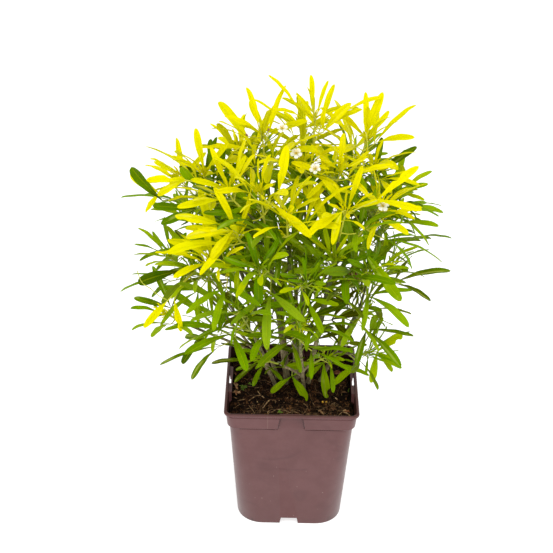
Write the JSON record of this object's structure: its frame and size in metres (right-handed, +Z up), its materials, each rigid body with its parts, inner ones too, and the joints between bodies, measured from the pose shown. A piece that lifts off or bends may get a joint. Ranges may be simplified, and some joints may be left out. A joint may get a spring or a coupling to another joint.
{
  "type": "potted mexican orange blossom",
  "caption": "Square nursery pot of dark compost with a bushy, gold-topped leafy shrub and small white flowers; stands on its flat base.",
  "frame": {"origin": "middle of the pot's underside, which stands on z = 0", "axes": "+Z up, the pot's front side faces -Y"},
  "size_m": [0.3328, 0.3176, 0.4912],
  "materials": {
    "pot": "satin",
    "soil": "matte",
    "wood": "matte",
    "gold_leaf": "satin",
    "green_leaf": "satin",
    "petal": "matte"
  },
  "bodies": {
    "root": {"pot": "pot", "potting_soil": "soil", "woody_stem_front_left": "wood", "woody_stem_left": "wood", "woody_stem_top_left": "wood", "woody_stem_top": "wood", "woody_stem_top_right": "wood", "woody_stem_front_right": "wood", "woody_stem_front": "wood", "woody_stem_low_left": "wood", "woody_stem_low_right": "wood", "woody_stem_low_front": "wood", "woody_stem_back": "wood", "gold_shoot_01": "gold_leaf", "gold_shoot_02": "gold_leaf", "gold_shoot_03": "gold_leaf", "gold_shoot_04": "gold_leaf", "gold_shoot_05": "gold_leaf", "gold_shoot_06": "gold_leaf", "gold_shoot_07": "gold_leaf", "gold_shoot_08": "gold_leaf", "gold_shoot_09": "gold_leaf", "gold_shoot_10": "gold_leaf", "gold_shoot_11": "gold_leaf", "gold_shoot_12": "gold_leaf", "gold_shoot_13": "gold_leaf", "gold_shoot_14": "gold_leaf", "gold_shoot_15": "gold_leaf", "gold_shoot_16": "gold_leaf", "gold_shoot_17": "gold_leaf", "gold_shoot_18": "gold_leaf", "green_shoot_01": "green_leaf", "green_shoot_02": "green_leaf", "green_shoot_03": "green_leaf", "green_shoot_04": "green_leaf", "green_shoot_05": "green_leaf", "green_shoot_06": "green_leaf", "green_shoot_07": "green_leaf", "green_shoot_08": "green_leaf", "green_shoot_09": "green_leaf", "green_shoot_10": "green_leaf", "green_shoot_11": "green_leaf", "green_shoot_12": "green_leaf", "green_shoot_13": "green_leaf", "green_shoot_14": "green_leaf", "green_shoot_15": "green_leaf", "green_shoot_16": "green_leaf", "green_shoot_17": "green_leaf", "green_shoot_18": "green_leaf", "green_shoot_19": "green_leaf", "green_shoot_20": "green_leaf", "green_shoot_21": "green_leaf", "green_shoot_22": "green_leaf", "green_shoot_23": "green_leaf", "green_shoot_24": "green_leaf", "green_shoot_25": "green_leaf", "flower_01": "petal", "flower_02": "petal", "flower_03": "petal", "flower_04": "petal"}
  },
  "joints": []
}
